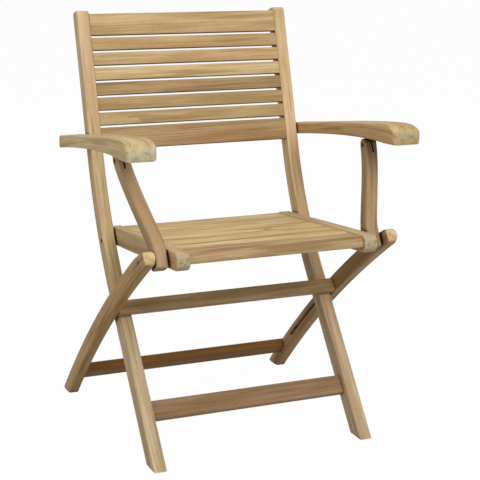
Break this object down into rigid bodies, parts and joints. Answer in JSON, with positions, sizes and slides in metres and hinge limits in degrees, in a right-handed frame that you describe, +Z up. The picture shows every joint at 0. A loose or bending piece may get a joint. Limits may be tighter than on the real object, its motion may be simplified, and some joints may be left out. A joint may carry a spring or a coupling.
{
  "type": "folding armchair",
  "caption": "Folding wooden garden armchair with slatted seat and back, crossed legs, curved armrests on splayed supports, and pivots that fold it flat.",
  "frame": {"origin": "on the floor, under the middle of the open chair's bounding box", "axes": "+Z up, -Y the way the sitter faces, +X to the sitter's left"},
  "size_m": [0.6346, 0.586, 0.8819],
  "materials": {
    "frame_teak": "fine sanded, unvarnished",
    "slat_teak": "fine sanded, unvarnished",
    "brace_teak": "fine sanded, unvarnished",
    "arm_teak": "fine sanded, unvarnished",
    "hardware_brass": "dull",
    "hardware_steel": "dull"
  },
  "bodies": {
    "back_frame": {"upright_left": "frame_teak", "upright_right": "frame_teak", "back_slat_1": "slat_teak", "back_slat_2": "slat_teak", "back_slat_3": "slat_teak", "back_slat_4": "slat_teak", "back_slat_5": "slat_teak", "back_slat_6": "slat_teak", "back_slat_7": "slat_teak", "back_slat_8": "slat_teak", "front_stretcher": "brace_teak", "rear_pivot_bolt_left": "hardware_brass", "rear_pivot_bolt_right": "hardware_brass", "rear_pivot_nut_left": "hardware_brass", "rear_pivot_nut_right": "hardware_brass", "rear_pivot_washer_left": "hardware_steel", "rear_pivot_washer_right": "hardware_steel", "arm_pivot_bolt_left": "hardware_brass", "arm_pivot_bolt_right": "hardware_brass", "arm_pivot_washer_left": "hardware_steel", "arm_pivot_washer_right": "hardware_steel", "crossing_pin_left": "hardware_steel", "crossing_pin_right": "hardware_steel"},
    "seat": {"seat_rail_left": "frame_teak", "seat_rail_right": "frame_teak", "seat_slat_1": "slat_teak", "seat_slat_2": "slat_teak", "seat_slat_3": "slat_teak", "seat_slat_4": "slat_teak", "seat_slat_5": "slat_teak", "seat_slat_6": "slat_teak", "seat_slat_7": "slat_teak", "seat_slat_8": "slat_teak", "seat_slat_9": "slat_teak", "seat_slat_10": "slat_teak", "front_pivot_bolt_left": "hardware_brass", "front_pivot_bolt_right": "hardware_brass", "front_pivot_nut_left": "hardware_brass", "front_pivot_nut_right": "hardware_brass", "front_inner_washer_left": "hardware_steel", "front_inner_washer_right": "hardware_steel", "front_outer_washer_left": "hardware_steel", "front_outer_washer_right": "hardware_steel"},
    "rear_leg_frame": {"rear_leg_left": "frame_teak", "rear_leg_right": "frame_teak", "crossing_rail": "brace_teak", "rear_stretcher": "brace_teak"},
    "arm_support_body_left": {"arm_support_left": "arm_teak", "arm_pin_left": "hardware_steel"},
    "armrest_body_left": {"armrest_left": "arm_teak", "arm_bracket_left": "hardware_steel", "bracket_screw_1_left": "hardware_steel", "bracket_screw_2_left": "hardware_steel"},
    "arm_support_body_right": {"arm_support_right": "arm_teak", "arm_pin_right": "hardware_steel"},
    "armrest_body_right": {"armrest_right": "arm_teak", "arm_bracket_right": "hardware_steel", "bracket_screw_1_right": "hardware_steel", "bracket_screw_2_right": "hardware_steel"}
  },
  "joints": [
    {"name": "seat_fold", "type": "hinge", "parent": "back_frame", "child": "seat", "pos_m": [0, 0.08083, 0.40414], "axis": [-1, 0, 0], "range_deg": [0, 92]},
    {"name": "rear_leg_fold", "type": "hinge", "parent": "seat", "child": "rear_leg_frame", "pos_m": [0, -0.23817, 0.44011], "axis": [1, 0, 0], "range_deg": [0, 24.2]},
    {"name": "arm_support_fold_left", "type": "hinge", "parent": "seat", "child": "arm_support_body_left", "pos_m": [0, -0.23817, 0.44011], "axis": [1, 0, 0], "range_deg": [0, 96.2]},
    {"name": "armrest_fold_left", "type": "hinge", "parent": "back_frame", "child": "armrest_body_left", "pos_m": [0, 0.17729, 0.60185], "axis": [-1, 0, 0], "range_deg": [0, 94.3]},
    {"name": "arm_support_fold_right", "type": "hinge", "parent": "seat", "child": "arm_support_body_right", "pos_m": [0, -0.23817, 0.44011], "axis": [1, 0, 0], "range_deg": [0, 96.2]},
    {"name": "armrest_fold_right", "type": "hinge", "parent": "back_frame", "child": "armrest_body_right", "pos_m": [0, 0.17729, 0.60185], "axis": [-1, 0, 0], "range_deg": [0, 94.3]}
  ],
  "couplings": [
    {"joint": "rear_leg_fold", "follows": "seat_fold", "ratio": 0.263},
    {"joint": "arm_support_fold_left", "follows": "seat_fold", "ratio": 1.045},
    {"joint": "armrest_fold_left", "follows": "seat_fold", "ratio": 1.024},
    {"joint": "arm_support_fold_right", "follows": "seat_fold", "ratio": 1.045},
    {"joint": "armrest_fold_right", "follows": "seat_fold", "ratio": 1.024}
  ]
}
